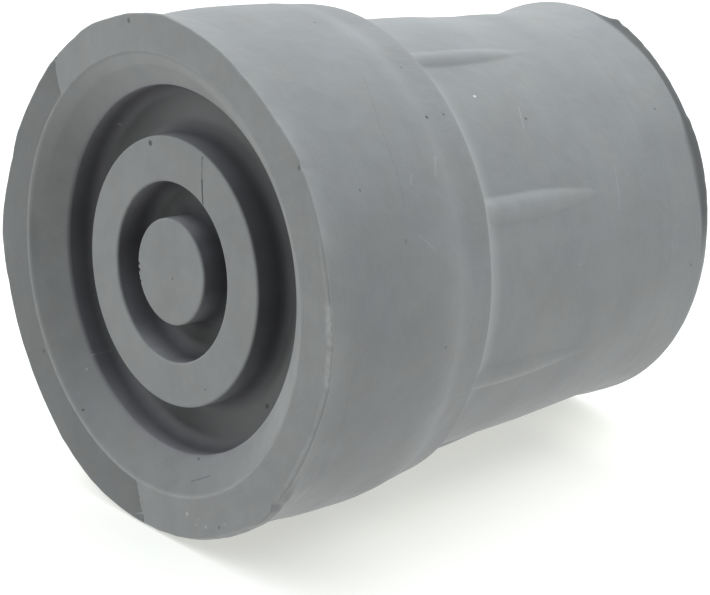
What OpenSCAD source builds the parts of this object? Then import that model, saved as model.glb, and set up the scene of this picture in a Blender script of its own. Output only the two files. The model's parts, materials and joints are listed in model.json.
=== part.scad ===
// Rubber cane tip: one moulded piece of grey rubber.
// It stands on its tread, with the centre of the tread plane at the origin
// and the mouth, which takes the cane, straight up along +Z.

/* [Socket] */
// Diameter of the bore that grips the cane
bore_d = 22; // [16:0.5:30]
// Solid rubber between the tread plane and the floor of the bore
floor_t = 11; // [8:0.5:14]
// Width of the chamfer that leads the cane into the bore
mouth_chamfer = 0.8; // [0.3:0.1:1.2]

/* [Tube] */
// Height of the tube, from the back edge of the foot to the mouth
tube_h = 24.5; // [20:0.1:36]
// Wall of the tube at its neck, the narrowest place
wall_t = 4.15; // [3:0.05:6]
// How far each side of the tube leans in beside the ribs, in degrees
tube_lean = 3.8; // [2:0.1:5]
// How far the tube still stands out from the neck where its lean steepens
tube_swell = 0.35; // [0.25:0.05:0.6]
// How far the flared rim stands out from the neck
rim_flare = 0.3; // [0.2:0.05:0.8]
// Height of the flare, from the neck to the mouth
flare_h = 4.6; // [3:0.1:5]
// Radius of the rim's outer edge
rim_edge_r = 0.7; // [0.3:0.05:1]

/* [Ribs] */
// Number of ribs around the tube
rib_count = 8; // [4:1:12]
// Height of a rib where it leaves the foot
rib_h = 0.35; // [0.25:0.05:0.6]
// Width of a rib where it leaves the foot
rib_w = 1.8; // [1.4:0.1:2.6]
// Length of a rib, up from the back edge of the foot to where it sinks into the tube
rib_l = 13.2; // [10:0.1:14.5]

/* [Foot] */
// Height of the foot, from the tread plane to its back edge
foot_h = 16.2; // [14:0.1:24]
// Height of the rounded shoulder below the back edge
shoulder_h = 3.8; // [2:0.1:6]
// How far the shoulder falls in towards the back edge
shoulder_drop = 0.7; // [0.4:0.05:1.5]
// Step from the foot's back edge down to the tube
foot_step = 1.15; // [1:0.05:2]
// Radius of the hollow between the back edge and the tube
tube_root_r = 2.2; // [1.5:0.1:2.6]
// How far the lip around the tread stands out from the foot
lip_w = 0.75; // [0.3:0.05:1]
// Height of the lip, up to where it meets the foot's side
lip_h = 2; // [1.5:0.1:4]

/* [Tread] */
// Diameter of the disc in the middle
disc_d = 7.8; // [5:0.1:9]
// Width of the groove around the disc
inner_groove_w = 2.6; // [1.5:0.1:3.2]
// Width of the raised ring
ring_w = 3.3; // [2:0.1:4]
// Width of the groove around the ring
outer_groove_w = 3.6; // [2.5:0.1:4.4]
// Width of the flat land that meets the ground
land_w = 3.15; // [2:0.05:3.6]
// Depth of the dish where it breaks into the outer groove
dish_depth = 1.9; // [1.5:0.1:2.5]
// How far the ring and the disc sit back from the land
core_recess = 1.3; // [0.5:0.1:1.8]
// Depth of the two grooves, from the tread plane
groove_depth = 4.2; // [3:0.1:5.5]
// Radius in the corners of the groove floors
groove_floor_r = 1; // [0.3:0.1:1.2]
// Radius of the small edges around the grooves
edge_r = 0.2; // [0.1:0.05:0.3]

/* [Hidden] */
$fn = 96;

height = foot_h + tube_h;
bore_r = bore_d / 2;
neck_z = height - flare_h;
neck_r = bore_r + wall_t;
rim_r = neck_r + rim_flare;
// The tube leans in more steeply from half way between the ribs' ends and the neck
rib_end_z = foot_h + rib_l;
bend_z = (rib_end_z + neck_z) / 2;
bend_r = neck_r + tube_swell;
// Radius of the tube's lower stretch, carried down to the foot
tube_r = bend_r + (bend_z - foot_h) * tan(tube_lean);

back_edge_r = tube_r + foot_step;
foot_r = back_edge_r + shoulder_drop;
lip_r = foot_r + lip_w;
land_r = lip_r - land_w;

disc_r = disc_d / 2;
ring_in_r = disc_r + inner_groove_w;
ring_out_r = ring_in_r + ring_w;
dish_r = ring_out_r + outer_groove_w;

// Radii of the softened edges
land_edge_r = 0.3;
lip_edge_r = 0.15;
shoulder_r = 12;
back_edge_round = 0.2;
bend_round = 12;
neck_round = 8;
// Height of the lip's upright edge
lip_edge_h = 0.2;
// Height over which the rim's last stretch stands upright
rim_band_h = 1.3;
// Chord of the steps along a rounded corner, in degrees
arc_step = 12;
// Overlap that makes cuts and joins clean
eps = 0.05;

// Points of the arc of radius r that rounds the corner b between a and c
function corner(a, b, c, r) =
    let (
        u = (a - b) / norm(a - b),
        v = (c - b) / norm(c - b),
        half = acos(min(1, max(-1, u * v))) / 2,
        reach = r / tan(half),
        mid = (u + v) / norm(u + v),
        centre = b + mid * r / sin(half),
        p = b + u * reach - centre,
        q = b + v * reach - centre,
        start = atan2(p.y, p.x),
        turn = atan2(p.x * q.y - p.y * q.x, p * q),
        steps = max(2, ceil(abs(turn) / arc_step))
    )
    [for (i = [0:steps]) centre + r * [cos(start + turn * i / steps), sin(start + turn * i / steps)]];

// An outline from corners written [x, y, radius], each rounded by its own radius
function rounded(pts) =
    let (n = len(pts), flat = [for (p = pts) [p.x, p.y]])
    [for (i = [0:n - 1])
        each pts[i].z == 0
            ? [flat[i]]
            : corner(flat[(i + n - 1) % n], flat[i], flat[(i + 1) % n], pts[i].z)];

// The hollow under the lip: an arc from the lip's edge that runs into the side of the foot
lip_hollow_r = (pow(lip_h - lip_edge_h, 2) + pow(lip_w, 2)) / (2 * lip_w);
lip_turn = asin((lip_h - lip_edge_h) / lip_hollow_r);
lip_steps = 5;
lip_hollow = [
    for (i = [0:lip_steps])
        let (a = 180 + lip_turn * (1 - i / lip_steps))
        [foot_r + lip_hollow_r * (1 + cos(a)), lip_h + lip_hollow_r * sin(a), 0]
];

// The hollow at the tube's root: an arc from the foot's back, just inside the back edge, that
// runs into the side of the tube
root_step = foot_step - back_edge_round - 0.05;
root_rise = sqrt(2 * root_step * tube_root_r * cos(tube_lean) - pow(root_step * cos(tube_lean), 2))
    - root_step * sin(tube_lean);
root_centre = [tube_r, foot_h]
    + tube_root_r * [cos(tube_lean), sin(tube_lean)]
    + root_rise * [-sin(tube_lean), cos(tube_lean)];
root_start = 360 + atan2(foot_h - root_centre.y, tube_r + root_step - root_centre.x);
root_end = 180 + tube_lean;
root_steps = 6;
tube_root = [
    for (i = [0:root_steps])
        let (a = root_start + (root_end - root_start) * i / root_steps)
        [root_centre.x + tube_root_r * cos(a), root_centre.y + tube_root_r * sin(a), 0]
];

// Half section of the foot and tube, without the bore and the ribs
section = rounded([
    [0, core_recess, 0],
    // the disc, its groove, the ring and the outer groove
    [disc_r, core_recess, edge_r],
    [disc_r, groove_depth, groove_floor_r],
    [ring_in_r, groove_depth, groove_floor_r],
    [ring_in_r, core_recess, edge_r],
    [ring_out_r, core_recess, edge_r],
    [ring_out_r, groove_depth, groove_floor_r],
    [dish_r, groove_depth, groove_floor_r],
    // the dish, the land and the lip
    [dish_r, dish_depth, edge_r],
    [land_r, 0, land_edge_r],
    [lip_r, 0, lip_edge_r],
    each lip_hollow,
    // the side of the foot and its shoulder
    [foot_r, foot_h - shoulder_h, shoulder_r],
    [back_edge_r, foot_h, back_edge_round],
    each tube_root,
    // the tube, the neck, the flare and the rim
    [bend_r, bend_z, bend_round],
    [neck_r, neck_z, neck_round],
    [rim_r, height - rim_band_h, 0],
    [rim_r, height, rim_edge_r],
    [0, height, 0]
]);

// A rib is a round rod, nearly sunk into the side of the tube. Its crest starts level with
// that side and curves in, so the rib narrows and runs out at its upper end.
rib_r = (pow(rib_w / 2, 2) + pow(rib_h, 2)) / (2 * rib_h);
rib_bow_r = pow(rib_l, 2) / (2 * rib_h);
// Lengths by which the rod carries on into the foot and past the rib's end
rib_sunk_l = 1.2;
rib_past_l = 0.3 * (neck_z - rib_end_z);

module rib() {
    from = rib_sunk_l / rib_bow_r * 180 / PI;
    to = (rib_l + rib_past_l) / rib_bow_r * 180 / PI;
    translate([tube_r, 0, foot_h])
        rotate([0, -tube_lean, 0])
            translate([rib_h - rib_bow_r, 0, 0])
                rotate([90, 0, 0])
                    rotate([0, 0, -from])
                        rotate_extrude(angle = from + to)
                            translate([rib_bow_r - rib_r, 0])
                                circle(rib_r);
}

module bore() {
    translate([0, 0, floor_t])
        cylinder(r = bore_r, h = height - floor_t + eps);
    translate([0, 0, height - mouth_chamfer])
        cylinder(r1 = bore_r, r2 = bore_r + mouth_chamfer + eps, h = mouth_chamfer + eps);
}

// The whole tip, moulded in one piece
module cane_tip() {
    color([0.52, 0.54, 0.55])
        difference() {
            union() {
                rotate_extrude() polygon(section);
                for (i = [0:rib_count - 1])
                    rotate(360 * i / rib_count) rib();
            }
            bore();
        }
}

cane_tip();
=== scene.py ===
# The looks of the rubber cane tip: one detailed mesh of the moulded piece, its rubber, and a white table.
# The part stands on its tread with +Z towards the mouth. The camera and the table lie as if the tip
# had been laid on its side, resting on the rim of its tread and the rim of its mouth.
# Lengths in the constants are in millimetres and angles in degrees, both measured on the part. Angles
# run around the axis from +X; the camera looks at the side at -90.
import json
import math

import bpy
import numpy as np
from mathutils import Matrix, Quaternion, Vector, noise


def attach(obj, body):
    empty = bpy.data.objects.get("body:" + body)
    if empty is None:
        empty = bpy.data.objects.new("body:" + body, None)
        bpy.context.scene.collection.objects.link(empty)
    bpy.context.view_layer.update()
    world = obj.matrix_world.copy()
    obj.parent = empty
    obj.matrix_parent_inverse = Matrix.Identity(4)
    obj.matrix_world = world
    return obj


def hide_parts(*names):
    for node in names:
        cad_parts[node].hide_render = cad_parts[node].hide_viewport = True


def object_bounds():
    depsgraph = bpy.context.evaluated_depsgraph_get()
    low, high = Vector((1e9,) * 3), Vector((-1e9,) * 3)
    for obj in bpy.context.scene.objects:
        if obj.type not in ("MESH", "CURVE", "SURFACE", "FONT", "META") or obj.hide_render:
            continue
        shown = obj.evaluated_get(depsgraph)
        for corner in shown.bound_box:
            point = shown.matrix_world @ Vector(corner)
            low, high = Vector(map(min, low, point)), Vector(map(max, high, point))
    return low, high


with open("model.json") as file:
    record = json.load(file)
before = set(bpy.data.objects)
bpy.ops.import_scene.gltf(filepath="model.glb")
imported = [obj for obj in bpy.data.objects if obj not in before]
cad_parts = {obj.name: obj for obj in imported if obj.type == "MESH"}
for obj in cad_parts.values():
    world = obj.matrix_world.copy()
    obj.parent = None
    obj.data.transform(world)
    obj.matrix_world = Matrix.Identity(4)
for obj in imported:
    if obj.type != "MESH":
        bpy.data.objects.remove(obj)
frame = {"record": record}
cad_low, cad_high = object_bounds()

MM = 0.001

# ---------------------------------------------------------------- sizes of the part
LIP_R = cad_high.x / MM
HEIGHT = cad_high.z / MM
socket = next(m for m in frame["record"]["mounts"] if m["name"] == "socket")
BORE_R = socket["dims"]["r_mm"]
MOUTH_CHAMFER = HEIGHT - socket["pos_m"][2] / MM
BORE_FLOOR_Z = HEIGHT - MOUTH_CHAMFER - socket["dims"]["length_mm"]

# the tread, from its middle outwards
DISC_R = 3.9
RING_IN_R = 6.5
RING_OUT_R = 9.8
DISH_R = 13.4
LAND_R = 16.05
CORE_RECESS = 1.3
GROOVE_DEPTH = 4.2
DISH_DEPTH = 1.9
TREAD_TOP_Z = 4.6

# the side, from the tread upwards
FOOT_R = 18.46
LIP_EDGE_Z = 0.15
LIP_ROOT_Z = 2.8
FOOT_Z = 16.2
SHOULDER_Z = FOOT_Z - 3.8
BACK_EDGE_R = FOOT_R - 0.7
TUBE_R = 16.6
BEND_R = 15.83
BEND_Z = FOOT_Z + 12.6
TUBE_ROOT = 2.2
NECK_R = 15.15
NECK_Z = HEIGHT - 4.6
RIM_R = NECK_R + 0.3
RIM_BAND_Z = HEIGHT - 1.3

# the ribs: round rods, nearly sunk into the tube, which run out at their upper ends
RIBS = 8
RIB_H = 0.35
RIB_W = 1.8
RIB_R = (RIB_W ** 2 / 4 + RIB_H ** 2) / (2 * RIB_H)
RIB_L = 13.2
RIB_TURN = -0.6
# one rib stands lower than the rest, and one is wider on its one side
LOW_RIB_ANGLE = 180
LOW_RIB_LOSS = 0.45
WIDE_RIB_ANGLE = -90
WIDE_RIB_SHRINK = 0.78

# how far out the untrimmed lip reaches, by angle around the tread
LIP_REACH = [
    (-180, 18.66), (-170, 18.7), (-160, 18.85), (-150, 18.72), (-130, 18.62), (-118, 18.85), (-110, 19.2),
    (-95, 19.1), (-80, 19.2), (-70, 19.42), (-60, 19.5), (-50, 19.2), (-42, 19.15), (-30, 19.1), (-20, 19.4),
    (-15, 19.12), (-8, 18.95), (28, 19.1), (40, 19.22), (50, 19.22), (57, 19.17), (63, 19.02), (75, 19.0),
    (85, 19.07), (95, 19.17), (100, 19.35), (105, 19.48), (110, 19.4), (115, 19.2), (120, 18.98),
    (125, 18.8), (131, 18.88), (135, 18.74), (141, 18.6), (166, 18.58), (169, 18.7), (180, 18.66),
]
# nicks in the lip: angle, half width, soft edge, depth
LIP_NICKS = [(-105.95, 0.35, 0.5, 0.1), (-26, 0.8, 0.6, 0.22)]
# how the circles of the tread lie off the mould's, by distance from the middle: along X, along Y,
# wider, oval
CORE_SHIFT = [
    (0.6, 0, 0, 0, 0), (3.9, -0.1, 0.15, -0.02, 0.03), (6.5, -0.06, 0.11, 0.03, 0.14),
    (9.8, -0.05, -0.03, 0.01, 0.12), (13.4, -0.055, -0.01, -0.03, 0.13), (16, 0, 0, 0, 0),
]
OVAL_ANGLE = -133
# the torn stretch of the disc's edge
RAGGED_ANGLE = 95
RAGGED_DEPTH = 0.42
# how much fuller the foot is on the two sides that its parting line crosses, by height
FULLER = [
    (0.8, 0), (1.6, -0.06), (2.8, -0.1), (3.8, 0.02), (5, 0.18), (6.5, 0.24), (8, 0.21), (10, 0.12),
    (12, -0.02), (13.5, -0.09), (15.5, 0), (16.2, 0),
]
# where the lip runs straight into the foot, and how far the foot is filled out there
STRAIGHT_ANGLE = -8
STRAIGHT_FILL = 0.56
# a flat spot on the shoulder, and a sunk place on the tube
FLAT_ANGLE = -62
FLAT_DEPTH = 0.22
SUNK_ANGLE = 180
SUNK_DEPTH = 0.15
NECK_FULLER = 0.2
# how far the piece's middle line lies off the axis along +X, by height
SWAY = [
    (0, 0), (1, 0), (2.5, 0.1), (4.5, 0.2), (7, 0.24), (11, 0.26), (15.5, 0.05), (20, 0.18), (27, 0.14),
    (34, 0.12), (37.5, 0.05), (39.5, -0.16), (41, -0.2),
]
# the thin burr on the rim's outer edge, by angle
RIM_BURR = [
    (-180, -0.04), (-170, -0.07), (-162, -0.15), (-154, -0.08), (-149, 0), (-146, 0.14), (-142.5, 0.45),
    (-140.5, 0.3), (-134, 0.26), (-126, 0.14), (-113, 0.06), (-106, 0.05), (-104, 0.17), (-96, 0.22),
    (-84, 0.12), (-70, 0), (170, 0), (180, -0.04),
]
# how far the rim stops below the full height, by angle
MOUTH_DROP = [
    (-180, 0.1), (-150, 0.03), (-125, 0), (-65, 0), (-50, 0.06), (-20, 0.12), (60, 0.2), (120, 0.2),
    (180, 0.1),
]
# points around the mesh in each zone, and around each rib and between two ribs
TREAD_AROUND = 240
LAND_AROUND = 512
RIM_AROUND = 400
BORE_AROUND = 128
RIB_AROUND = 28
GAP_AROUND = 12

# ---------------------------------------------------------------- camera and table
LENS = 162.0
VIEW_AZIMUTH = math.radians(-1.04)
VIEW_ELEVATION = math.radians(-38.95)
VIEW_ROLL = math.radians(-78.43)
VIEW_DISTANCE = 239.84 * MM
VIEW_AIM = Vector((4.35, 1.35, 18.49)) * MM

# the way up from the table, and the point where the tread's rim touches it
TABLE_UP = Vector((-0.918, -0.387, -0.088)).normalized()
TABLE_TOUCH = Vector((-TABLE_UP.x, -TABLE_UP.y, 0)).normalized() * LIP_R * MM


def make_camera():
    data = bpy.data.cameras.new("camera")
    data.lens = LENS
    data.sensor_width = 36
    data.clip_start = 0.01
    data.clip_end = 20
    camera = bpy.data.objects.new("camera", data)
    bpy.context.scene.collection.objects.link(camera)
    back = Vector((
        math.sin(VIEW_AZIMUTH) * math.cos(VIEW_ELEVATION),
        -math.cos(VIEW_AZIMUTH) * math.cos(VIEW_ELEVATION),
        math.sin(VIEW_ELEVATION),
    ))
    level = (-back).to_track_quat("-Z", "Y")
    camera.rotation_mode = "QUATERNION"
    camera.rotation_quaternion = Quaternion(back, -VIEW_ROLL) @ level
    camera.location = VIEW_AIM + back * VIEW_DISTANCE
    bpy.context.scene.camera = camera
    return camera


# ---------------------------------------------------------------- outlines
ARC_STEP = math.radians(16)


def corner_arc(before, point, after, radius):
    """The points of the arc that rounds a corner of an outline."""
    u = (before - point) / np.linalg.norm(before - point)
    v = (after - point) / np.linalg.norm(after - point)
    half = math.acos(max(-1.0, min(1.0, float(u @ v)))) / 2
    reach = radius / math.tan(half)
    centre = point + (u + v) / np.linalg.norm(u + v) * radius / math.sin(half)
    p = point + u * reach - centre
    q = point + v * reach - centre
    start = math.atan2(p[1], p[0])
    turn = math.atan2(p[0] * q[1] - p[1] * q[0], float(p @ q))
    steps = max(2, math.ceil(abs(turn) / ARC_STEP))
    return [
        centre + radius * np.array((math.cos(start + turn * i / steps), math.sin(start + turn * i / steps)))
        for i in range(steps + 1)
    ]


def rounded(corners):
    """An outline from corners (r, z, radius), each rounded by its own radius."""
    flat = [np.array(c[:2], dtype=float) for c in corners]
    points = [flat[0]]
    for i in range(1, len(flat) - 1):
        if corners[i][2]:
            points += corner_arc(flat[i - 1], flat[i], flat[i + 1], corners[i][2])
        else:
            points.append(flat[i])
    return points + [flat[-1]]


def filled(points, gap, guard=0.12):
    """The outline with points at most gap apart, and one close to each end of every long stretch."""
    result = [points[0]]
    for a, b in zip(points, points[1:]):
        length = float(np.linalg.norm(b - a))
        if length < 1e-6:
            continue
        stops = []
        if length > 3 * guard:
            inner = length - 2 * guard
            count = max(1, math.ceil(inner / gap))
            stops = [guard + inner * i / count for i in range(count + 1)]
        result += [a + (b - a) * s / length for s in stops] + [b]
    return np.array(result)


# ---------------------------------------------------------------- the moulded piece
def smooth(t):
    t = np.clip(t, 0, 1)
    return t * t * (3 - 2 * t)


def band(x, low, high, soft):
    """1 between low and high, falling to 0 over soft on each side."""
    return smooth((x - low + soft) / soft) * smooth((high + soft - x) / soft)


def angle_from(theta, centre):
    """Angle in degrees from centre, between -180 and 180."""
    return (np.degrees(theta) - centre + 180) % 360 - 180


def read(table, x):
    """The value at x of a table of (place, value)."""
    places, values = zip(*table)
    return np.interp(x, places, values)


def ripple(theta, z, size, seed, around=LIP_R):
    """Smooth noise of about -1 to 1 on the piece's side, with features of the given size."""
    flat_t, flat_z = np.broadcast_arrays(theta, z)
    turn = around / size
    values = [
        noise.noise(Vector((turn * math.cos(t), turn * math.sin(t) + seed, h / size + 7.3 * seed)))
        for t, h in zip(flat_t.ravel(), flat_z.ravel())
    ]
    return np.array(values).reshape(flat_t.shape)


def room_in_box(theta):
    """Distance from the axis to the sides of the CAD part's box."""
    return (LIP_R - 0.005) / np.maximum(np.abs(np.cos(theta)), np.abs(np.sin(theta)))


def lip_hollow(z):
    """How far the lip stands out at the height z: 1 at its edge, 0 where it meets the foot's side."""
    return np.clip((LIP_ROOT_Z - z) / (LIP_ROOT_Z - LIP_EDGE_Z), 0, 1) ** 3


def lip_shape(theta, r, z):
    """The lip as it came from the mould and the knife: uneven reach, waves and small nicks."""
    reach = read(LIP_REACH, angle_from(theta, 0))
    reach += 0.05 * ripple(theta, 0 * theta, 2.6, 1) + 0.035 * ripple(theta, 0 * theta, 0.9, 2)
    for angle, half, soft, depth in LIP_NICKS:
        reach -= depth * band(angle_from(theta, angle), -half, half, soft)
    grow = np.minimum(reach, room_in_box(theta)) - LIP_R
    under = smooth((r - (LIP_R - 1.6)) / 1.6)
    return r + grow * np.where(z > LIP_EDGE_Z, lip_hollow(z), under), z


def core_shape(theta, r, z):
    """The disc, the ring and the grooves, a little off centre and oval, and the disc's torn edge."""
    columns = list(zip(*CORE_SHIFT))
    along_x, along_y, wider, oval = (np.interp(r, columns[0], column) for column in columns[1:])
    shift = along_x * np.cos(theta) + along_y * np.sin(theta) + wider
    shift += oval * np.cos(2 * (theta - math.radians(OVAL_ANGLE)))
    ragged = band(angle_from(theta, RAGGED_ANGLE), -16, 16, 6) * band(r, DISC_R - 0.25, DISC_R + 0.05, 0.15)
    ragged *= np.clip(ripple(theta, z, 0.3, 8, DISC_R), 0, 1) * smooth((2.2 - z) / 0.8)
    return r + shift - RAGGED_DEPTH * ragged, z


def foot_shape(theta, r, z):
    """The foot is fuller at its two sides, and at one of them its lip runs straight into it."""
    on_foot = smooth((r - LAND_R - 1.2) / 0.8) * (z < FOOT_Z + 0.05)
    fuller = np.cos(theta) ** 2 * read(FULLER, z)
    straight = STRAIGHT_FILL * band(angle_from(theta, STRAIGHT_ANGLE), -20, 20, 12)
    straight = straight * smooth(z / 0.8) * (1 - smooth((z - 1.4) / 4.2))
    room = np.maximum(room_in_box(theta) - np.abs(sway(z)), r)
    return np.where(on_foot > 0, np.minimum(r + (fuller + straight) * on_foot, room), r), z


def tube_side(z):
    return np.interp(z, (FOOT_Z, BEND_Z, NECK_Z), (TUBE_R, BEND_R, NECK_R))


def tube_line(z):
    """Radius of the tube at height z, with the hollow between its side and the foot's back edge."""
    lean = math.atan2(TUBE_R - BEND_R, BEND_Z - FOOT_Z)
    step = BACK_EDGE_R - 0.14 - TUBE_R
    along = math.sqrt(2 * step * TUBE_ROOT * math.cos(lean) - (step * math.cos(lean)) ** 2)
    along -= step * math.sin(lean)
    middle_r = TUBE_R + TUBE_ROOT * math.cos(lean) - along * math.sin(lean)
    middle_z = FOOT_Z + TUBE_ROOT * math.sin(lean) + along * math.cos(lean)
    hollow = middle_r - np.sqrt(np.maximum(TUBE_ROOT ** 2 - (z - middle_z) ** 2, 0))
    return np.where(z < FOOT_Z + along * math.cos(lean), hollow, tube_side(z))


def rib_level(z):
    """How high a rib stands at the height z: 1 at the foot, 0 at its end."""
    up = (z - FOOT_Z) / RIB_L
    return (1 - smooth((up - 0.4) / 0.6)) * (z > FOOT_Z + 0.01)


def across_rib(theta, r):
    """Distance around the tube to the middle of the nearest rib. One rib is wider on one side."""
    pitch = 2 * math.pi / RIBS
    off = ((theta - math.radians(RIB_TURN) + pitch / 2) % pitch - pitch / 2) * r
    wide = (off > 0) & (np.abs(angle_from(theta, WIDE_RIB_ANGLE)) < 12)
    return np.abs(off) * np.where(wide, WIDE_RIB_SHRINK, 1)


def rib_shape(theta, r, z):
    """The ribs, blended softly into the tube."""
    level = rib_level(z) * (r > BORE_R + 1)
    level = level * (1 - LOW_RIB_LOSS * band(angle_from(theta, LOW_RIB_ANGLE), -10, 10, 5))
    rod = np.sqrt(np.maximum(RIB_R ** 2 - across_rib(theta, r) ** 2, 0))
    gap = tube_side(z) + RIB_H * level - RIB_R + rod - r
    return np.where(level > 0, r + (gap + np.sqrt(gap * gap + (0.06 * level) ** 2)) / 2, r), z


def on_rib(theta, r, z):
    """1 on a rib, 0 beside it."""
    level = rib_level(z) * (r > BORE_R + 1)
    return smooth((RIB_W / 2 * np.sqrt(level) + 0.08 - across_rib(theta, r)) / 0.25) * (level > 0)


def tube_shape(theta, r, z):
    """A flat spot on the shoulder, a sunk place on the tube, the fuller neck and the uneven skin."""
    flat = FLAT_DEPTH * band(angle_from(theta, FLAT_ANGLE), -18, 18, 16)
    flat = flat * smooth((z - 9) / 5) * smooth((FOOT_Z + 1.5 - z) / 1.5)
    sunk = SUNK_DEPTH * band(angle_from(theta, SUNK_ANGLE), -30, 30, 25) * band(z, 28, 30, 3)
    uneven = 0.03 * ripple(theta, z, 7, 3, FOOT_R) + 0.012 * ripple(theta, z, 2.2, 5, FOOT_R)
    return r - flat - sunk + full_neck(theta, z) + uneven, z


def full_neck(theta, z):
    """The neck is fuller away from the mould's parting line, which runs up the piece at 0 and 180."""
    return NECK_FULLER * np.sin(theta) ** 2 * smooth((z - 26) / 9) * (1 - smooth((z - NECK_Z) / 3.4))


def mouth_shape(theta, r, z):
    """The rim of the mouth, cut a little uneven, with two small tips of flash."""
    drop = read(MOUTH_DROP, angle_from(theta, 0)) + 0.03 * ripple(theta, 0 * theta, 1.4, 4, RIM_R)
    burr = read(RIM_BURR, angle_from(theta, 0)) * (1 + 0.35 * ripple(theta, 0 * theta, 0.7, 6, RIM_R))
    burr = burr * smooth((z - HEIGHT + 0.9) / 0.8) * smooth((r - RIM_R + 1.6) / 0.9)
    lowered = z - np.maximum(drop, 0) * smooth((z - NECK_Z) / (HEIGHT - NECK_Z - 0.6))
    return r + full_neck(theta, z) + burr, lowered


def sway(z):
    """How far the middle line lies off the axis at the height z."""
    return read(SWAY, z)


class Skin:
    """The surface of the piece, gathered ring by ring."""

    def __init__(self):
        self.points = []
        self.sections = []
        self.treads = []
        self.ribs = []
        self.faces = []
        self.zones = []
        self.count = 0

    def grid(self, outline, angles, *shapes):
        """Turns an outline of (r, z) around the axis, and bends the points by each shape in turn."""
        theta, r = np.meshgrid(angles, outline[:, 0])
        z = np.repeat(outline[:, 1:2], len(angles), axis=1)
        for shape in shapes:
            r, z = shape(theta, r, z)
        rows, cols = r.shape
        start = self.count
        self.note(np.repeat(outline, cols, axis=0), on_rib(theta, r, z).ravel())
        x = r * np.cos(theta) + sway(z) * smooth((r - DISH_R) / 2)
        self.points.append(np.stack([x, r * np.sin(theta), z], axis=-1).reshape(-1, 3))
        self.count += rows * cols
        for i in range(rows - 1):
            a = start + i * cols
            for j in range(cols):
                k = (j + 1) % cols
                self.faces.append((a + j, a + k, a + cols + k, a + cols + j))
        self.zones.append((start, rows, angles))

    def note(self, section, rib):
        """Keeps what the rubber needs to know of each point: its place on the section and near a rib."""
        self.sections.append(np.column_stack([section, np.zeros(len(section))]))
        inside = (section[:, 0] < FOOT_R - 0.5) & (section[:, 1] < TREAD_TOP_Z)
        self.treads.append(1.0 * (inside | (section[:, 1] < 0.1)))
        self.ribs.append(rib)

    def pole(self, z, first):
        """Closes the middle of the zone's first or last ring with a fan."""
        start, rows, angles = self.zones[-1]
        cols = len(angles)
        ring = start if first else start + (rows - 1) * cols
        self.points.append(np.array([[0, 0, z]]))
        self.note(np.array([[0, z]]), np.array([0.0]))
        middle = self.count
        self.count += 1
        for j in range(cols):
            k = (j + 1) % cols
            self.faces.append((middle, ring + k, ring + j) if first else (middle, ring + j, ring + k))

    def zip(self):
        """Joins the last two zones, whose rings may have different angles, by a strip of triangles."""
        (start_a, rows_a, angles_a), (start_b, _, angles_b) = self.zones[-2:]
        na, nb = len(angles_a), len(angles_b)
        ring_a = start_a + (rows_a - 1) * na
        i = j = 0
        while i < na or j < nb:
            next_a = angles_a[i + 1] if i + 1 < na else angles_a[0] + 2 * math.pi + 1e6 * (i >= na)
            next_b = angles_b[j + 1] if j + 1 < nb else angles_b[0] + 2 * math.pi + 1e6 * (j >= nb)
            a, b = ring_a + i % na, start_b + j % nb
            if next_a <= next_b:
                self.faces.append((a, ring_a + (i + 1) % na, b))
                i += 1
            else:
                self.faces.append((a, start_b + (j + 1) % nb, b))
                j += 1


def even_angles(count):
    return np.arange(count) * 2 * math.pi / count - math.pi


def rib_angles(fine, coarse, half_width):
    """Angles around the tube: fine ones within half_width degrees of each rib, coarse ones between."""
    pitch = 360 / RIBS
    one = np.concatenate([
        np.linspace(-half_width, half_width, fine, endpoint=False),
        np.linspace(half_width, pitch - half_width, coarse, endpoint=False),
    ])
    angles = np.concatenate([one + RIB_TURN + pitch * i for i in range(RIBS)])
    return np.radians(np.sort(angles)) - math.pi


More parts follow.
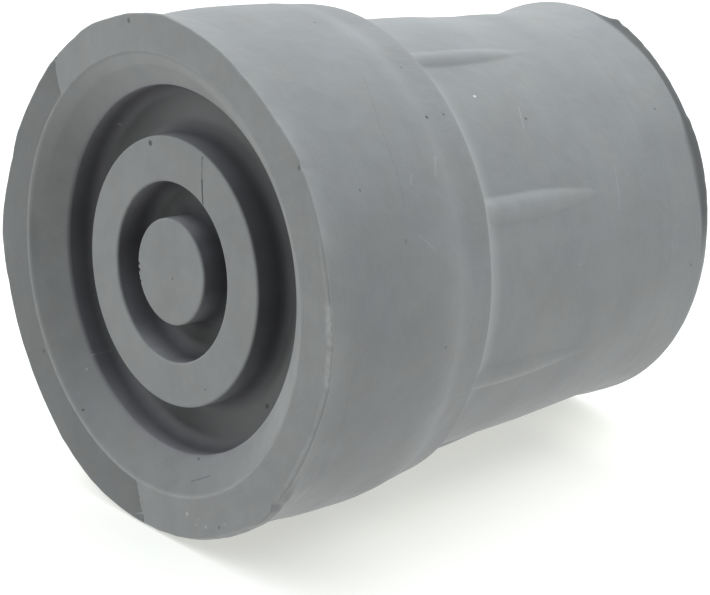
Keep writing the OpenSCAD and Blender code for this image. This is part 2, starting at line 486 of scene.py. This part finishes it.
def make_skin():
    """The whole surface, from the middle of the tread out, up the side, and down into the socket."""
    tread = filled(rounded([
        (0.6, CORE_RECESS, 0),
        (DISC_R, CORE_RECESS, 0.15),
        (DISC_R, GROOVE_DEPTH, 0.9),
        (RING_IN_R, GROOVE_DEPTH, 0.9),
        (RING_IN_R, CORE_RECESS, 0.15),
        (RING_OUT_R, CORE_RECESS, 0.15),
        (RING_OUT_R, GROOVE_DEPTH, 0.9),
        (DISH_R, GROOVE_DEPTH, 0.9),
        (DISH_R, DISH_DEPTH + 0.6, 0),
    ]), 0.7)
    heights = (0.3, 0.5, 0.75, 1.05, 1.4, 1.8, 2.3)
    lip = [(FOOT_R + (LIP_R - FOOT_R) * float(lip_hollow(z)), z, 0) for z in heights]
    land = filled(rounded([
        (DISH_R, DISH_DEPTH + 0.45, 0),
        (DISH_R, DISH_DEPTH, 0.2),
        (LAND_R, 0, 0.3),
        (LIP_R, 0, 0.1),
        (LIP_R, LIP_EDGE_Z, 0),
    ] + lip + [
        (FOOT_R, LIP_ROOT_Z, 0),
        (FOOT_R, 3.4, 0),
    ]), 0.5)
    side = filled(rounded([
        (FOOT_R, 3.6, 0),
        (FOOT_R, SHOULDER_Z, 12),
        (BACK_EDGE_R, FOOT_Z, 0.15),
        (BACK_EDGE_R - 0.14, FOOT_Z, 0),
    ]), 0.6)
    heights = FOOT_Z + np.concatenate([np.linspace(0.03, 0.33, 5), np.linspace(0.5, 2.2, 10)])
    root = np.column_stack([tube_line(heights), heights])
    heights = np.linspace(FOOT_Z + 2.5, NECK_Z - 1.5, 30)
    tube = np.column_stack([tube_line(heights), heights])
    body = np.concatenate([side, root, tube])
    rim = filled(rounded([
        (float(tube_side(NECK_Z - 1.3)), NECK_Z - 1.3, 0),
        (NECK_R, NECK_Z, 12),
        (RIM_R, RIM_BAND_Z, 6),
        (RIM_R, HEIGHT, 0.75),
        (BORE_R + MOUTH_CHAMFER, HEIGHT, 0.2),
        (BORE_R, HEIGHT - MOUTH_CHAMFER, 0.3),
        (BORE_R, HEIGHT - 3, 0),
    ]), 0.4)
    bore = filled(rounded([
        (BORE_R, HEIGHT - 3.3, 0),
        (BORE_R, BORE_FLOOR_Z, 0.8),
        (0.6, BORE_FLOOR_Z, 0),
    ]), 2.2)
    skin = Skin()
    skin.grid(tread, even_angles(TREAD_AROUND), core_shape)
    skin.pole(CORE_RECESS, True)
    skin.grid(land, even_angles(LAND_AROUND), core_shape, lip_shape, foot_shape)
    skin.zip()
    skin.grid(body, rib_angles(RIB_AROUND, GAP_AROUND, 4.6), rib_shape, tube_shape, foot_shape)
    skin.zip()
    skin.grid(rim, even_angles(RIM_AROUND), mouth_shape)
    skin.zip()
    skin.grid(bore, even_angles(BORE_AROUND))
    skin.zip()
    skin.pole(BORE_FLOOR_Z, False)
    return skin


def make_tip(rubber):
    skin = make_skin()
    points = np.concatenate(skin.points)
    mesh = bpy.data.meshes.new("rubber_tip")
    mesh.from_pydata((points * MM).tolist(), [], skin.faces)
    mesh.update()
    mesh.shade_smooth()
    notes = [
        ("section", "vector", skin.sections),
        ("tread", "value", skin.treads),
        ("rib", "value", skin.ribs),
    ]
    for name, key, values in notes:
        kind = "FLOAT_VECTOR" if key == "vector" else "FLOAT"
        mesh.attributes.new(name, kind, "POINT").data.foreach_set(key, np.concatenate(values).ravel())
    tip = bpy.data.objects.new("rubber_tip", mesh)
    bpy.context.scene.collection.objects.link(tip)
    mesh.materials.append(rubber)
    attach(tip, "root")
    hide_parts("cane_tip")
    print("rubber_tip", len(points), "points", sum(len(f) - 2 for f in skin.faces), "triangles")
    return tip


# ---------------------------------------------------------------- the rubber
# the two greys of the skin, and the bluer one deep in the grooves, a painted tint of the cool light on the
# groove walls
BASE = (0.254, 0.266, 0.270, 1)
WARM = (0.262, 0.266, 0.258, 1)
WALL_COOL_LIGHT = (0.258, 0.259, 0.277, 1)
# radius at which angles on the side become lengths
SIDE_UNIT_R = 18.0
# how far the outlines of the marks waver
WOBBLE = 0.08
# distance that keeps the marks of the tread off the side, and the other way round
APART = 100.0

# marks on the tread: angle, distance from the middle, radius, strength
TREAD_DARK = [
    (-177, 9.4, 0.22, 0.7), (157, 18.5, 0.13, 0.7), (-172, 18.2, 0.2, 0.5), (76.5, 16.6, 0.14, 0.5),
    (56, 15.6, 0.11, 0.6), (7, 13.6, 0.1, 0.6), (-22, 11.4, 0.2, 0.6), (-140.2, 9.72, 0.1, 0.7),
    (-129.4, 6.58, 0.12, 0.8), (100, 3.86, 0.14, 0.7), (107, 3.86, 0.1, 0.7), (-105.8, 19.05, 0.2, 0.4),
    (0, 0.4, 0.1, 0.5), (-8.5, 8.7, 0.08, 0.5), (-5, 18.4, 0.15, 0.4),
]
TREAD_LIGHT = [
    (6.5, 17.25, 0.16, 0.5), (3.5, 18.0, 0.1, 0.4), (0, 18.2, 0.13, 0.5), (-7.4, 18.3, 0.1, 0.4),
    (2, 17.6, 0.08, 0.3), (151, 13.1, 0.12, 0.4), (66, 14.2, 0.1, 0.4), (69, 13.5, 0.08, 0.3),
]
# lines on the tread: angle and distance of both ends, half width, strength
TREAD_CRACKS = [
    (-140.2, 9.62, -136.5, 8.24, 0.035, 0.5), (-136.5, 8.24, -129.6, 6.8, 0.045, 0.8),
    (6, 15.0, -2, 14.7, 0.04, 0.3),
]
# the pale, torn edge of the lip, written in the same way: partly its own pale colour, partly a painted
# highlight where the fin catches the light
TREAD_FIN_AND_HIGHLIGHT = [
    (-92, 18.95, -77, 18.98, 0.08, 0.14), (-77, 18.98, -70, 19.15, 0.24, 0.34),
    (-67, 19.2, -61, 19.25, 0.24, 0.3), (-61, 19.25, -48, 18.95, 0.1, 0.12),
    (-48, 18.95, -32, 18.9, 0.1, 0.16),
]
# marks on the side: angle, height, radius, strength
SIDE_DARK = [
    (-113.5, 13.25, 0.14, 0.6), (-114, 15.1, 0.12, 0.5), (-112.4, 24.1, 0.12, 0.6), (-148, 10.7, 0.1, 0.4),
    (-128, 13.9, 0.1, 0.4), (-99.5, 4.9, 0.12, 0.4), (-64, 38.75, 0.12, 0.35), (-110, 37.5, 0.1, 0.4),
    (-62, 11.3, 0.1, 0.4), (-87, 7.8, 0.16, 0.2),
]
SIDE_LIGHT = [(-120.9, 20.46, 0.13, 1.6), (-72, 26.2, 0.1, 0.3), (-18, 37.2, 1.6, 0.1)]
# broad, soft patches on the side: angle, height, radius, strength
SIDE_PATCHES = [
    (-78, 4.5, 6.0, -0.09), (-92, 6.0, 5.0, -0.05), (-100, 37.5, 3.5, -0.07), (-98, 24, 6.0, -0.03),
    (-140, 13.5, 3.0, 0.07), (-158, 27, 4.0, 0.1), (-50, 36.5, 4.5, 0.06), (-55, 24.5, 3.5, 0.05),
    (-36, 13, 3.0, 0.06), (-20, 10.5, 3.0, -0.1), (-18, 22, 3.0, -0.08), (-30, 22, 3.0, -0.09),
    (-130, 19.5, 3.0, -0.05), (-40, 32, 3.0, 0.05), (-85, 14.5, 2.5, -0.05), (-40, 3.5, 1.8, 0.05),
    (-149, 33.5, 2.5, 0.05), (-118, 33, 3.0, -0.05),
]
# pale scratches and a fine dark line on the side: angle and height of both ends, half width, strength
SIDE_SCRATCHES = [
    (-116, 24.0, -110, 23.5, 0.05, 0.2), (-88, 9.0, -84, 10.4, 0.06, 0.12),
    (-104, 12.4, -100, 11.8, 0.06, 0.15), (-96, 31.2, -84, 30.8, 0.06, 0.12),
    (-101, 9.8, -99, 9.4, 0.05, 0.15),
]
SIDE_LINES = [
    (-126, 9.8, -113, 8.7, 0.06, 0.06), (-113, 8.7, -102, 8.5, 0.06, 0.06),
    (-102, 8.5, -94, 8.3, 0.06, 0.06),
]
# how much lighter the ribs are, by angle
RIB_TONE = [(-180, 0.04), (-145, 0.01), (-125, 0.01), (-100, 0.09), (-80, 0.09), (-60, 0.04), (180, 0.04)]
# painted light and shade on the dish: how much lighter or darker it is, by angle
DISH_TONE = [
    (-180, 0.1), (-135, 0), (-90, 0), (-60, 0.08), (-45, 0.19), (-30, 0.1), (0, 0.03), (45, 0.15),
    (75, 0.02), (90, -0.02), (135, -0.16), (160, 0), (180, 0.1),
]
# painted light and shade in the outer groove, by angle: its side by the ring, its floor, and its side by the
# dish
RING_SIDE_TONE = [
    (-180, 0), (-165, -0.13), (-150, -0.22), (-135, -0.3), (-120, -0.05), (-105, 0.12), (-90, 0), (-75, 0),
    (-60, -0.22), (-45, -0.42), (-30, -0.22), (-15, -0.02), (15, 0.06), (45, 0.02), (75, 0.14), (105, 0.22),
    (135, -0.04), (165, 0.2), (180, 0),
]
FLOOR_TONE = [
    (-180, 0.12), (-165, 0.38), (-150, 0.42), (-135, 0.3), (-105, 0.22), (-75, 0.35), (-30, 0.4),
    (-15, 0.38), (0, 0.18), (15, -0.15), (30, -0.44), (45, -0.12), (60, 0.1), (75, 0.27), (105, 0.12),
    (135, 0.02), (150, -0.26), (163, -0.2), (180, 0.12),
]
DISH_SIDE_TONE = [
    (-180, 0.05), (-135, 0.03), (-105, 0.08), (-75, -0.02), (-45, 0.28), (-15, 0.14), (0, 0), (30, 0.05),
    (45, 0.08), (60, 0.36), (75, 0.42), (105, 0.28), (120, 0.06), (135, -0.15), (165, 0), (180, 0.05),
]
# painted light and shade in the inner groove, by angle: from the disc to the middle of its floor, and from
# there to the ring
INNER_TONE = [
    (-180, -0.12), (-165, 0), (-135, 0), (-120, 0.15), (-105, 0.42), (-90, 0.15), (-75, 0.2), (-60, 0.15),
    (-45, 0.02), (-30, 0), (-15, 0), (-5, -0.15), (10, -0.42), (25, -0.48), (35, -0.32), (45, -0.12),
    (60, 0.2), (75, 0.4), (90, 0.38), (105, 0.22), (135, -0.1), (155, -0.15), (170, -0.2), (180, -0.12),
]
INNER_SIDE_TONE = [
    (-180, -0.38), (-150, -0.4), (-135, -0.42), (-120, 0), (-105, 0.5), (-75, 0.42), (-45, 0.1),
    (-30, -0.1), (-13, -0.4), (0, -0.4), (15, -0.3), (30, -0.05), (45, 0.15), (60, 0.25), (75, 0.45),
    (90, 0.38), (105, 0.12), (125, -0.22), (140, -0.26), (155, -0.05), (170, -0.2), (180, -0.38),
]


class Nodes:
    """A node tree that is built by calls, each of which adds one node and returns its output."""

    def __init__(self, tree):
        self.tree = tree

    def add(self, kind, inputs=(), output=0, **settings):
        node = self.tree.nodes.new(kind)
        for name, value in settings.items():
            setattr(node, name, value)
        for key, value in dict(inputs).items():
            self.set(node.inputs[key], value)
        return node.outputs[output]

    def set(self, socket, value):
        if isinstance(value, bpy.types.NodeSocket):
            self.tree.links.new(value, socket)
        else:
            socket.default_value = value

    def maths(self, operation, a, b=0.0, clamp=False):
        return self.add("ShaderNodeMath", {0: a, 1: b}, operation=operation, use_clamp=clamp)

    def total(self, *terms):
        result = terms[0]
        for term in terms[1:]:
            result = self.maths("ADD", result, term)
        return result

    def times(self, a, b):
        return self.maths("MULTIPLY", a, b)

    def less(self, a, b):
        return self.maths("SUBTRACT", a, b)

    def most(self, *values):
        """The largest of the values."""
        result = values[0]
        for value in values[1:]:
            result = self.maths("MAXIMUM", result, value)
        return result

    def attribute(self, name, output="Fac"):
        return self.add("ShaderNodeAttribute", output=output, attribute_name=name)

    def vector(self, x, y, z=0.0):
        return self.add("ShaderNodeCombineXYZ", {0: x, 1: y, 2: z})

    def parts(self, vector):
        """The three parts of a vector."""
        node = self.tree.nodes.new("ShaderNodeSeparateXYZ")
        self.set(node.inputs[0], vector)
        return node.outputs

    def dot(self, vector, axis):
        return self.add("ShaderNodeVectorMath", {0: vector, 1: axis}, "Value", operation="DOT_PRODUCT")

    def mix(self, factor, a, b):
        return self.add("ShaderNodeMix", {"Factor": factor, 6: a, 7: b}, 2, data_type="RGBA")

    def scaled(self, vector, factor):
        return self.add("ShaderNodeVectorMath", {0: vector, 3: factor}, operation="SCALE")

    def moved(self, vector, shift):
        return self.add("ShaderNodeVectorMath", {0: vector, 1: shift}, operation="ADD")

    def far(self, a, b):
        return self.add("ShaderNodeVectorMath", {0: a, 1: b}, "Value", operation="DISTANCE")

    def ramp(self, value, start, end, low=0.0, high=1.0):
        """From low at start to high at end, level outside, with soft ends; start may lie beyond end."""
        if not isinstance(end, bpy.types.NodeSocket) and start > end:
            start, end, low, high = end, start, high, low
        inputs = {"Value": value, "From Min": start, "From Max": end, "To Min": low, "To Max": high}
        return self.add("ShaderNodeMapRange", inputs, interpolation_type="SMOOTHSTEP")

    def window(self, value, start, full, ebb, end):
        """1 between full and ebb, falling softly to 0 at start and at end."""
        return self.times(self.ramp(value, start, full), self.ramp(value, end, ebb))

    def noise(self, vector, size, detail=2.0, roughness=0.5):
        """Smooth noise of about -1 to 1 with features of the given size."""
        inputs = {"Vector": vector, "Scale": 1 / size, "Detail": detail, "Roughness": roughness}
        value = self.add("ShaderNodeTexNoise", inputs, "Fac")
        return self.ramp(value, 0.25, 0.75, -1.0, 1.0)

    def spots(self, field, marks, where):
        """The strength of the marks at a point of the field: the strongest one that covers it."""
        result = 0.0
        for *place, size, strength in marks:
            cover = self.ramp(self.far(field, where(*place)), size * 1.3, size * 0.5, 0.0, strength)
            result = self.most(result, cover)
        return result

    def lines(self, field, marks, where):
        """The strength of the straight lines at a point of the field."""
        result = 0.0
        for a0, a1, b0, b1, half, strength in marks:
            a, b = Vector(where(a0, a1)), Vector(where(b0, b1))
            run = b - a
            t = self.dot(self.moved(field, -a), run / run.length_squared)
            t = self.maths("MINIMUM", self.most(t, 0.0), 1.0)
            foot = self.moved(self.scaled(run, t), a)
            cover = self.ramp(self.far(field, foot), half * 2.2, half * 0.6, 0.0, strength)
            result = self.most(result, cover)
        return result

    def by_angle(self, turn, table):
        """A value that follows a table of (degrees, value) around the piece, smoothly. The curve works in
        half degrees, because it takes no more than 100 each way."""
        node = self.tree.nodes.new("ShaderNodeFloatCurve")
        node.mapping.clip_min_x, node.mapping.clip_max_x = -90, 90
        node.mapping.clip_min_y, node.mapping.clip_max_y = -1, 1
        points = node.mapping.curves[0].points
        points[0].location, points[1].location = (-90, table[0][1]), (90, table[-1][1])
        for degrees, value in table[1:-1]:
            points.new(degrees / 2, value)
        node.mapping.update()
        self.set(node.inputs["Value"], self.times(turn, 0.5))
        return node.outputs[0]

    def edge(self, section, r, z, width, strength):
        """A soft line that runs around the piece at the distance r from its middle and the height z."""
        return self.ramp(self.far(section, (r, z, 0)), width, width * 0.3, 0.0, strength)


def on_tread(angle, r):
    return (r * math.cos(math.radians(angle)), r * math.sin(math.radians(angle)), 0)


def on_side(angle, z):
    return (math.radians(angle) * SIDE_UNIT_R, z, 0)


class Site:
    """Where a point of the rubber lies, and the noise there, as sockets."""

    def __init__(self, n):
        self.place = n.scaled(n.add("ShaderNodeTexCoord", output="Object"), 1 / MM)
        self.section = n.attribute("section", "Vector")
        self.tread = n.attribute("tread")
        self.rib = n.attribute("rib")
        self.x, self.y, z = n.parts(self.place)
        # distance from the middle and height on the mould's own outline
        self.r, self.h, _ = n.parts(self.section)
        angle = n.maths("ARCTAN2", self.y, self.x)
        self.turn = n.times(angle, 180 / math.pi)
        # 1 at the angle 0, -1 at 180, and 0 between them
        self.sideways = n.maths("DIVIDE", self.x, n.most(self.r, 1.0))

        jitter = n.add("ShaderNodeTexNoise", {"Vector": self.place, "Scale": 2.5, "Detail": 2.0}, "Color")
        wobble = n.moved(n.scaled(jitter, 2 * WOBBLE), (-WOBBLE, -WOBBLE, -WOBBLE))
        tread_field = n.vector(self.x, self.y, n.ramp(self.tread, 0.4, 0.6, APART, 0.0))
        side_field = n.vector(n.times(angle, SIDE_UNIT_R), z, n.ramp(self.tread, 0.4, 0.6, 0.0, APART))
        self.tread_field = n.moved(tread_field, wobble)
        self.side_field = n.moved(side_field, wobble)

        self.clouds = n.noise(self.place, 7.0, 3.0)
        self.patches = n.noise(self.place, 1.6, 3.0)
        self.grain = n.noise(self.place, 0.28, 3.0, 0.6)
        self.shoulder = n.window(self.h, 13.2, 14.2, 15.6, 16.1)
        streaks = n.noise(n.vector(n.times(angle, 40.0), n.times(z, 0.3)), 1.0, 3.0, 0.6)
        self.streaks = n.times(self.shoulder, streaks)

        below_floor = (GROOVE_DEPTH + 0.4, GROOVE_DEPTH + 1.0)
        self.groove = n.times(
            n.window(self.h, CORE_RECESS + 0.1, GROOVE_DEPTH - 0.6, *below_floor),
            n.ramp(self.r, DISH_R + 0.4, DISH_R + 0.1),
        )
        near_wall = n.most(0.0, *(
            n.ramp(n.maths("ABSOLUTE", n.less(self.r, wall_r)), 1.0, 0.0)
            for wall_r in (DISC_R, RING_IN_R, RING_OUT_R, DISH_R)
        ))
        near_wall = n.times(near_wall, n.window(self.h, CORE_RECESS + 0.03, CORE_RECESS + 0.3, *below_floor))
        self.wall = n.times(near_wall, n.ramp(self.r, DISH_R + 0.3, DISH_R + 0.05))


def dark_marks(n, site):
    on_faces = n.ramp(site.h, CORE_RECESS + 0.3, CORE_RECESS + 0.1)
    return n.most(
        n.spots(site.tread_field, TREAD_DARK, on_tread),
        n.spots(site.side_field, SIDE_DARK, on_side),
        n.times(n.lines(site.tread_field, TREAD_CRACKS, on_tread), on_faces),
        n.lines(site.side_field, SIDE_LINES, on_side),
    )


def light_marks(n, site):
    flecks = n.total(0.8, n.times(n.noise(site.place, 0.5, 2.0), 0.5))
    return n.most(
        n.spots(site.tread_field, TREAD_LIGHT, on_tread),
        n.spots(site.side_field, SIDE_LIGHT, on_side),
        n.lines(site.side_field, SIDE_SCRATCHES, on_side),
        n.times(n.lines(site.tread_field, TREAD_FIN_AND_HIGHLIGHT, on_tread), flecks),
    )


# pale lines along the edges: partly wear, partly a painted highlight where the edges catch the light,
# strongest on the foot's back edge
def wear_and_edge_highlights(n, site):
    wear_and_highlight = n.total(
        n.edge(site.section, LAND_R, 0, 0.16, 0.14),
        n.edge(site.section, RING_OUT_R, CORE_RECESS, 0.16, 0.08),
        n.edge(site.section, RING_IN_R, CORE_RECESS, 0.16, 0.06),
        n.edge(site.section, DISC_R, CORE_RECESS, 0.14, 0.1),
        n.edge(site.section, LIP_R, 0.05, 0.2, 0.12),
        n.edge(site.section, BACK_EDGE_R, FOOT_Z, 0.16, 0.2),
    )
    return n.times(wear_and_highlight, n.total(0.8, n.times(n.noise(site.place, 1.1, 2.0), 0.4)))


def zone_tones(n, site):
    """How much lighter or darker each zone of the skin is: shoulder, tube, tread, dish, land and ribs.
    Painted light grows across the tread towards +Y and -X; the dish has painted light and shade by angle,
    and painted shade towards +X and +Y.
    """
    tread, turn, h, r = site.tread, site.turn, site.h, site.r
    dish = n.window(r, DISH_R - 0.05, DISH_R + 0.1, LAND_R - 0.1, LAND_R + 0.1)
    dish = n.times(dish, n.times(tread, n.ramp(h, 0.05, 0.2)))
    # slant: painted shade across the dish, darker towards +X and +Y
    slant = n.maths("DIVIDE", n.total(n.times(site.x, 0.17), n.times(site.y, 0.23)), n.most(r, 1.0))
    land = n.times(n.ramp(r, LAND_R - 0.1, LAND_R + 0.1), n.times(tread, n.ramp(h, 0.3, 0.1)))
    # across: painted light across the tread, lighter towards +Y and -X
    across = n.less(n.times(site.y, 2.0), site.x)
    return n.total(
        n.times(n.window(h, 11.4, 12.2, 12.8, 13.6), 0.06),
        n.times(site.shoulder, -0.05),
        n.times(site.streaks, 0.02),
        n.times(n.ramp(h, 16.4, 18.5), 0.07),
        n.times(tread, n.total(0.04, n.times(across, 0.0022))),
        n.times(dish, n.less(n.by_angle(turn, DISH_TONE), slant)),
        n.times(land, 0.05),
        n.times(site.rib, n.by_angle(turn, RIB_TONE)),
    )


def side_tones(n, site):
    """Soft patches on the side, painted light on the root and the flare of the tube, and painted shade in
    the hollow under the lip.
    """
    turn, h = site.turn, site.h
    patches = n.total(*(
        n.ramp(n.far(site.side_field, on_side(angle, height)), size * 1.2, size * 0.2, 0.0, strength)
        for angle, height, size, strength in SIDE_PATCHES
    ))
    # the root of the tube is painted lighter, a painted highlight, most between the angles -155 and -32
    root = n.window(h, FOOT_Z - 0.05, FOOT_Z + 0.1, FOOT_Z + 0.4, FOOT_Z + 2.4)
    facing = n.window(turn, -155, -95, -52, -32)
    # the flare below the rim is painted lighter, painted light against its shading
    flare = n.ramp(h, NECK_Z - 0.8, NECK_Z + 0.6)
    # painted shade in the hollow under the lip, between the angles -95 and -28
    painted_shade_under_lip = n.times(n.window(h, 0.12, 0.2, 0.3, 2.4), n.window(turn, -95, -80, -45, -28))
    painted_shade_under_lip = n.times(painted_shade_under_lip, n.ramp(site.r, FOOT_R - 0.3, FOOT_R - 0.1))
    return n.total(
        patches,
        n.times(root, n.total(0.08, n.times(facing, 0.25))),
        n.times(flare, n.total(0.05, n.times(n.ramp(turn, -95, -60), 0.05))),
        n.times(painted_shade_under_lip, -0.17),
    )


def groove_painted_shade(n, site):
    """Painted shade in the grooves: how dark their floors are, and more so their walls around the angles -90
    and 90.
    """
    shaded = n.ramp(n.maths("ABSOLUTE", site.sideways), 0.85, 0.35)
    below = n.times(n.times(n.ramp(site.r, 10.2, 12.2), n.ramp(site.sideways, 0.7, 0.95)), 0.07)
    return n.total(
        n.times(site.groove, n.total(0.42, below)),
        n.times(n.times(site.wall, shaded), n.less(0.62, n.times(site.groove, 0.33))),
    )


def rim_painted_shade(n, site):
    """Painted shade on the rounded edge of the mouth's rim between the angles -160 and -62; the dark band is
    wider in two places.
    """
    turn = site.turn
    wide = n.most(n.window(turn, -108, -98, -90, -72), n.times(0.6, n.window(turn, -152, -144, -136, -122)))
    into = n.total(n.less(site.h, HEIGHT - 1.15), n.times(wide, 0.45))
    rim = n.times(
        n.ramp(into, 0.0, n.total(0.25, n.times(wide, 0.45))),
        n.ramp(site.r, RIM_R - 1.0, RIM_R - 0.7),
    )
    return n.times(n.times(rim, n.window(turn, -160, -146, -80, -62)), 0.6)


def groove_tones(n, site):
    """Painted light and shade in the grooves: how their tone goes up and down around the piece."""
    r, turn = site.r, site.turn
    ring = (8.1, 8.2)
    ring_foot = (RING_OUT_R + 0.5, RING_OUT_R + 1.2)
    dish_foot = (DISH_R - 1.1, DISH_R - 0.5)
    # uneven holds the painted light and shade of the grooves, by angle
    uneven = n.total(
        n.times(n.ramp(r, 6.0, 5.5), n.by_angle(turn, INNER_TONE)),
        n.times(n.window(r, 5.5, 6.0, *ring), n.by_angle(turn, INNER_SIDE_TONE)),
        n.times(n.window(r, *ring, *ring_foot), n.by_angle(turn, RING_SIDE_TONE)),
        n.times(n.window(r, *ring_foot, *dish_foot), n.by_angle(turn, FLOOR_TONE)),
        n.times(n.ramp(r, *dish_foot), n.by_angle(turn, DISH_SIDE_TONE)),
    )
    return n.times(uneven, n.most(site.groove, site.wall))


def make_rubber():
    """Grey rubber with a matt moulded skin: cloudy, grained, pale at its edges from wear and painted
    highlight, with painted light and shade in some zones, painted shade in the grooves and on the rim, and
    marks.
    """
    rubber = bpy.data.materials.new("grey_rubber")
    rubber.use_nodes = True
    shader = rubber.node_tree.nodes["Principled BSDF"]
    n = Nodes(rubber.node_tree)
    site = Site(n)
    dark = dark_marks(n, site)
    wear_and_highlight = wear_and_edge_highlights(n, site)

    tone = n.total(
        1.0,
        n.times(site.clouds, 0.045),
        n.times(site.patches, n.total(0.035, n.times(site.tread, 0.015))),
        n.times(site.grain, 0.014),
        wear_and_highlight,
        zone_tones(n, site),
        side_tones(n, site),
    )
    # painted shade darkens the grooves and the rim's rounded edge
    tone = n.times(tone, n.less(1.0, n.most(groove_painted_shade(n, site), rim_painted_shade(n, site))))
    # painted light and shade by angle in the grooves
    tone = n.times(tone, n.total(1.0, groove_tones(n, site)))
    tone = n.total(n.times(tone, n.less(1.0, dark)), light_marks(n, site))

    broad = n.noise(n.moved(site.place, (40, 0, 0)), 5.0, 2.0)
    fine = n.noise(n.moved(site.place, (0, 60, 0)), 1.5, 2.0)
    warmth = n.total(n.times(n.total(broad, fine), 0.3), n.times(site.tread, 0.35), 0.25)
    tint = n.mix(n.maths("MINIMUM", n.most(warmth, 0.0), 1.0), BASE, WARM)
    # the groove walls take the bluer tint of painted cool light
    n.set(shader.inputs["Base Color"], n.scaled(n.mix(site.wall, tint, WALL_COOL_LIGHT), tone))
    n.set(shader.inputs["Roughness"], n.total(
        0.6, n.times(site.patches, 0.04), n.times(site.grain, 0.03), n.times(wear_and_highlight, -0.2),
    ))
    height = n.total(
        n.times(site.grain, 0.08),
        n.times(site.patches, 0.45),
        n.times(dark, -1.2),
        n.times(site.streaks, 0.15),
    )
    bump = n.add("ShaderNodeBump", {"Strength": 1.0, "Distance": 0.03 * MM, "Height": height})
    n.set(shader.inputs["Normal"], bump)
    return rubber


# ---------------------------------------------------------------- studio
# strengths of the dome's light: all around, growing away from the camera and upwards from the table,
# and above and below alike, where the lamp hangs and the white table shines back
DOME_LEVEL = 0.86
DOME_AWAY = 0.8
DOME_UP = 0.28
DOME_POLES = 0.85
DOME_SKEW = -0.6
DOME_TILT = 0.2
DOME_BELOW = (1.01, 1.0, 0.985, 1)
DOME_ABOVE = (0.955, 1.0, 1.04, 1)
# the ground's colour, its weak glow, and how much painted light it adds where the piece's shadow runs out,
# which thins the shadow there
GROUND_WHITE = (0.74, 0.745, 0.71, 1)
GROUND_TINT = (1.01, 1.01, 0.95, 1)
GROUND_GLOW = 0.37
TABLE_SHADOW_LIFT = 0.11


def make_world(camera):
    """Lights the piece from all around and shows white behind it."""
    world = bpy.data.worlds.new("studio")
    bpy.context.scene.world = world
    world.use_nodes = True
    world.node_tree.nodes.clear()
    n = Nodes(world.node_tree)
    back = camera.rotation_quaternion @ Vector((0, 0, 1))
    away = -(back - back.project(TABLE_UP)).normalized()
    direction = n.add("ShaderNodeTexCoord", output="Generated")
    up = n.dot(direction, TABLE_UP)
    skew = n.times(n.dot(direction, (1, 0, 0)), n.dot(direction, (0, 1, 0)))
    strength = n.total(
        n.times(DOME_AWAY, n.dot(direction, away)),
        n.times(DOME_UP, up),
        n.times(DOME_POLES, n.times(up, up)),
        n.times(DOME_SKEW, skew),
        n.times(DOME_TILT, n.times(up, n.dot(direction, (0, 0, 1)))),
        DOME_LEVEL,
    )
    colour = n.mix(n.total(n.times(up, 0.5), 0.5), DOME_BELOW, DOME_ABOVE)
    dome = n.add("ShaderNodeBackground", {"Color": colour, "Strength": n.most(strength, 0.05)})
    white = n.add("ShaderNodeBackground", {"Color": (1, 1, 1, 1)})
    rays = ("Is Camera Ray", "Is Glossy Ray", "Is Transmission Ray")
    shown = n.most(*(n.add("ShaderNodeLightPath", output=ray) for ray in rays))
    surface = n.add("ShaderNodeMixShader", {"Fac": shown, 1: dome, 2: white})
    out = world.node_tree.nodes.new("ShaderNodeOutputWorld")
    world.node_tree.links.new(surface, out.inputs["Surface"])


def make_ground(name, touch, up, shadow_lift):
    """A white plane seen by the camera from its upper side only, which keeps the piece's shadow. It
    glows more where the shadow runs out, by the given amount: painted light that thins the shadow there."""
    side = up.orthogonal().normalized()
    ahead = up.cross(side)
    mesh = bpy.data.meshes.new(name)
    corners = [touch + (side * a + ahead * b) * 3 for a, b in ((-1, -1), (1, -1), (1, 1), (-1, 1))]
    mesh.from_pydata(corners, [], [(0, 1, 2, 3)])
    ground = bpy.data.objects.new(name, mesh)
    bpy.context.scene.collection.objects.link(ground)
    ground.visible_diffuse = ground.visible_glossy = ground.visible_transmission = False
    ground.visible_shadow = ground.visible_volume_scatter = False
    material = bpy.data.materials.new(name)
    material.use_nodes = True
    material.node_tree.nodes.clear()
    n = Nodes(material.node_tree)
    diffuse = n.add("ShaderNodeBsdfDiffuse", {"Color": GROUND_WHITE})
    place = n.scaled(n.add("ShaderNodeTexCoord", output="Object"), 1 / MM)
    beside = n.dot(place, (-TABLE_UP.y, TABLE_UP.x, 0))
    along = n.dot(place, (0, 0, 1))
    # outer and beyond: painted light where the piece's shadow runs out
    outer = n.times(n.ramp(beside, 6.0, 13.0), n.ramp(along, 0.0, 12.0))
    beyond = n.times(n.ramp(along, 31.0, 36.5), n.ramp(beside, 2.0, 8.0))
    strength = n.total(GROUND_GLOW, n.times(shadow_lift, n.total(outer, beyond)))
    strength = n.times(strength, n.add("ShaderNodeLightPath", output="Is Camera Ray"))
    glow = n.add("ShaderNodeEmission", {"Color": GROUND_TINT, "Strength": strength})
    front = n.add("ShaderNodeAddShader", {0: diffuse, 1: glow})
    clear = n.add("ShaderNodeBsdfTransparent")
    surface = n.add("ShaderNodeMixShader", {
        "Fac": n.add("ShaderNodeNewGeometry", output="Backfacing"), 1: front, 2: clear,
    })
    out = material.node_tree.nodes.new("ShaderNodeOutputMaterial")
    material.node_tree.links.new(surface, out.inputs["Surface"])
    mesh.materials.append(material)


camera = make_camera()
make_tip(make_rubber())
make_world(camera)
make_ground("table", TABLE_TOUCH, TABLE_UP, TABLE_SHADOW_LIFT)
make_ground("floor", Vector((0, 0, 0)), Vector((0, 0, 1)), 0.0)
bpy.context.scene.view_settings.view_transform = "Standard"
